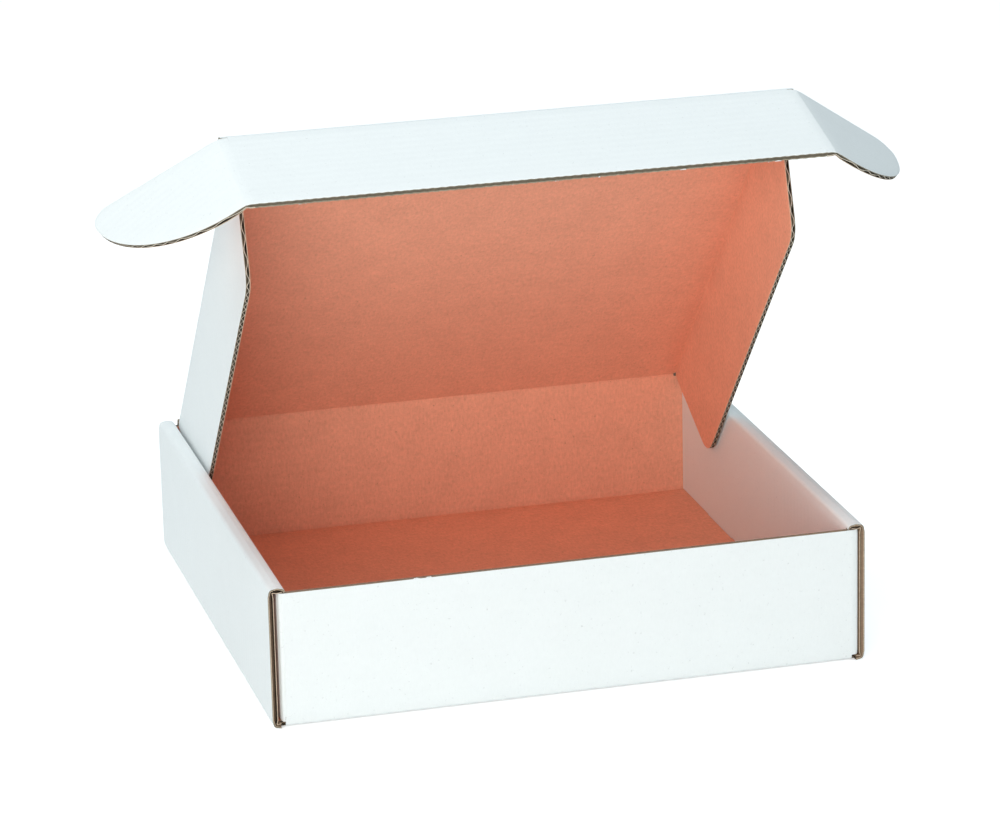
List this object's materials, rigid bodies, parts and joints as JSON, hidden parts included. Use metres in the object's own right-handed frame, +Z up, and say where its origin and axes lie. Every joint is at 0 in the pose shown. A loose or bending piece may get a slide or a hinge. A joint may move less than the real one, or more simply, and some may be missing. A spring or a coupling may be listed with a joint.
{
  "type": "corrugated mailer box",
  "caption": "Corrugated mailer box of white-lined kraft board, standing open: a tray with rolled side walls and a hinged lid with dust flaps, tuck flap and lock ears.",
  "frame": {"origin": "centre of the base, on the surface that the box stands on", "axes": "+X to the right of the box as seen from its open front, -Y to the front panel, +Z up; the lid hinges along X at the back"},
  "size_m": [0.4488, 0.302, 0.2949],
  "materials": {
    "tray": "matte white liner outside, terracotta kraft liner inside",
    "lid": "matte white liner outside, terracotta kraft liner inside"
  },
  "bodies": {
    "tray": {"tray": "tray"},
    "lid": {"lid": "lid"}
  },
  "joints": [
    {"name": "lid_hinge", "type": "hinge", "parent": "tray", "child": "lid", "pos_m": [0, 0.1494, 0.0766], "axis": [-1, 0, 0], "range_deg": [-42, 132]}
  ]
}
